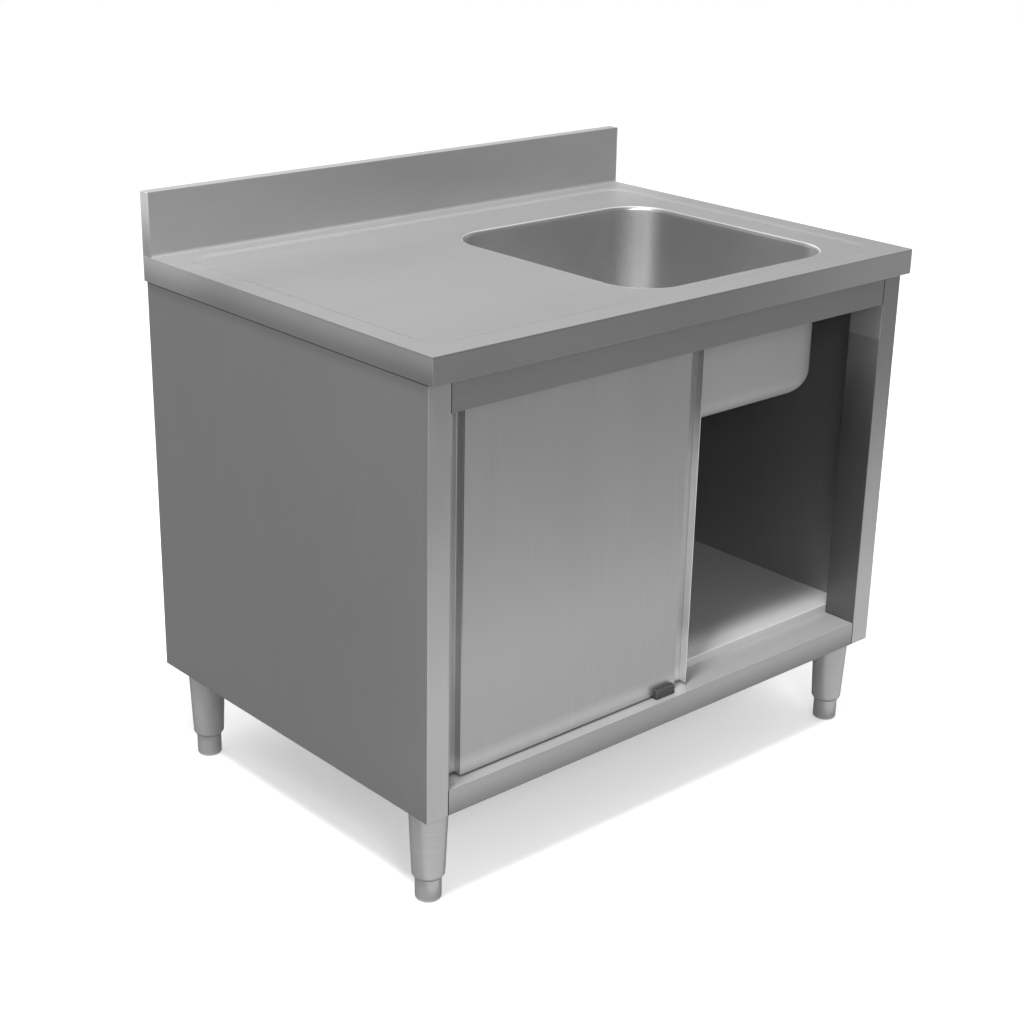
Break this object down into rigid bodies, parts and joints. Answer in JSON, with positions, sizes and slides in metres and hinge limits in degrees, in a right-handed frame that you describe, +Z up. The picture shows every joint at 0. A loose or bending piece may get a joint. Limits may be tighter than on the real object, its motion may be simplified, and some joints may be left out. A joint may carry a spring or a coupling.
{
  "type": "stainless steel sink cabinet",
  "caption": "Free-standing steel sink cabinet with drainboard, pressed bowl, upstand, hanging sliding doors, shelf and tapered legs on adjustable feet.",
  "frame": {"origin": "on the floor, under the middle of the worktop", "axes": "+X to the right along the worktop, +Y to the back, +Z up; the doors face -Y"},
  "size_m": [1, 0.7, 0.95],
  "materials": {
    "worktop_steel": "fine brushed grain along the worktop",
    "bowl_steel": "satin, polished after pressing",
    "panel_steel": "fine brushed grain",
    "inner_steel": "cold rolled, dull",
    "door_steel": "fine upright brushed grain",
    "bracket_steel": "plain, dull",
    "leg_steel": "brushed round the leg",
    "foot_steel": "satin turned",
    "fastener_steel": "plain",
    "waste_steel": "polished",
    "nut_plastic": "moulded",
    "seal_rubber": "matt",
    "roller_nylon": "turned nylon",
    "guide_plastic": "moulded, slightly worn"
  },
  "bodies": {
    "cabinet": {"worktop": "worktop_steel", "upstand_end_plates": "worktop_steel", "sink_bowl": "bowl_steel", "top_stiffeners": "inner_steel", "waste_flange": "waste_steel", "waste_strainer": "waste_steel", "waste_strainer_screw": "fastener_steel", "waste_seal": "seal_rubber", "waste_lock_nut": "nut_plastic", "side_panel_left": "panel_steel", "side_panel_right": "panel_steel", "back_panel": "inner_steel", "front_top_rail": "panel_steel", "rear_top_rail": "inner_steel", "door_track": "inner_steel", "base_rail": "panel_steel", "bottom_shelf": "inner_steel", "shelf_stiffener": "inner_steel", "frame_screws": "fastener_steel", "door_guide": "guide_plastic", "door_guide_screws": "fastener_steel", "leg_plates": "bracket_steel", "leg_plate_nuts": "fastener_steel", "leg_bushes": "bracket_steel", "leg_front_left": "leg_steel", "leg_front_right": "leg_steel", "leg_rear_left": "leg_steel", "leg_rear_right": "leg_steel"},
    "front_door": {"front_door_skin": "door_steel", "front_door_liner": "door_steel", "front_door_stiffener": "bracket_steel", "front_door_hangers": "bracket_steel", "front_door_hanger_screws": "fastener_steel", "front_door_axles": "fastener_steel"},
    "front_roller_left_body": {"front_roller_left": "roller_nylon"},
    "front_roller_right_body": {"front_roller_right": "roller_nylon"},
    "rear_door": {"rear_door_skin": "door_steel", "rear_door_liner": "door_steel", "rear_door_stiffener": "bracket_steel", "rear_door_hangers": "bracket_steel", "rear_door_hanger_screws": "fastener_steel", "rear_door_axles": "fastener_steel"},
    "rear_roller_left_body": {"rear_roller_left": "roller_nylon"},
    "rear_roller_right_body": {"rear_roller_right": "roller_nylon"},
    "foot_front_left_body": {"foot_front_left": "foot_steel"},
    "foot_front_right_body": {"foot_front_right": "foot_steel"},
    "foot_rear_left_body": {"foot_rear_left": "foot_steel"},
    "foot_rear_right_body": {"foot_rear_right": "foot_steel"}
  },
  "joints": [
    {"name": "front_door_slide", "type": "slide", "parent": "cabinet", "child": "front_door", "axis": [1, 0, 0], "range_m": [-0.01, 0.398]},
    {"name": "rear_door_slide", "type": "slide", "parent": "cabinet", "child": "rear_door", "axis": [1, 0, 0], "range_m": [-0.01, 0.398]},
    {"name": "front_roller_left_spin", "type": "hinge", "parent": "front_door", "child": "front_roller_left_body", "pos_m": [-0.382, -0.308, 0.7943], "axis": [0, 1, 0], "range_deg": [-70, 2560]},
    {"name": "front_roller_right_spin", "type": "hinge", "parent": "front_door", "child": "front_roller_right_body", "pos_m": [-0.006, -0.308, 0.7943], "axis": [0, 1, 0], "range_deg": [-70, 2560]},
    {"name": "rear_roller_left_spin", "type": "hinge", "parent": "rear_door", "child": "rear_roller_left_body", "pos_m": [-0.382, -0.2875, 0.7943], "axis": [0, 1, 0], "range_deg": [-70, 2560]},
    {"name": "rear_roller_right_spin", "type": "hinge", "parent": "rear_door", "child": "rear_roller_right_body", "pos_m": [-0.006, -0.2875, 0.7943], "axis": [0, 1, 0], "range_deg": [-70, 2560]},
    {"name": "foot_front_left_screw", "type": "slide", "parent": "cabinet", "child": "foot_front_left_body", "axis": [0, 0, -1], "range_m": [-0.025, 0.02]},
    {"name": "foot_front_right_screw", "type": "slide", "parent": "cabinet", "child": "foot_front_right_body", "axis": [0, 0, -1], "range_m": [-0.025, 0.02]},
    {"name": "foot_rear_left_screw", "type": "slide", "parent": "cabinet", "child": "foot_rear_left_body", "axis": [0, 0, -1], "range_m": [-0.025, 0.02]},
    {"name": "foot_rear_right_screw", "type": "slide", "parent": "cabinet", "child": "foot_rear_right_body", "axis": [0, 0, -1], "range_m": [-0.025, 0.02]}
  ],
  "couplings": [
    {"joint": "front_roller_left_spin", "follows": "front_door_slide", "rad_per_m": 111.11},
    {"joint": "front_roller_right_spin", "follows": "front_door_slide", "rad_per_m": 111.11},
    {"joint": "rear_roller_left_spin", "follows": "rear_door_slide", "rad_per_m": 111.11},
    {"joint": "rear_roller_right_spin", "follows": "rear_door_slide", "rad_per_m": 111.11}
  ]
}
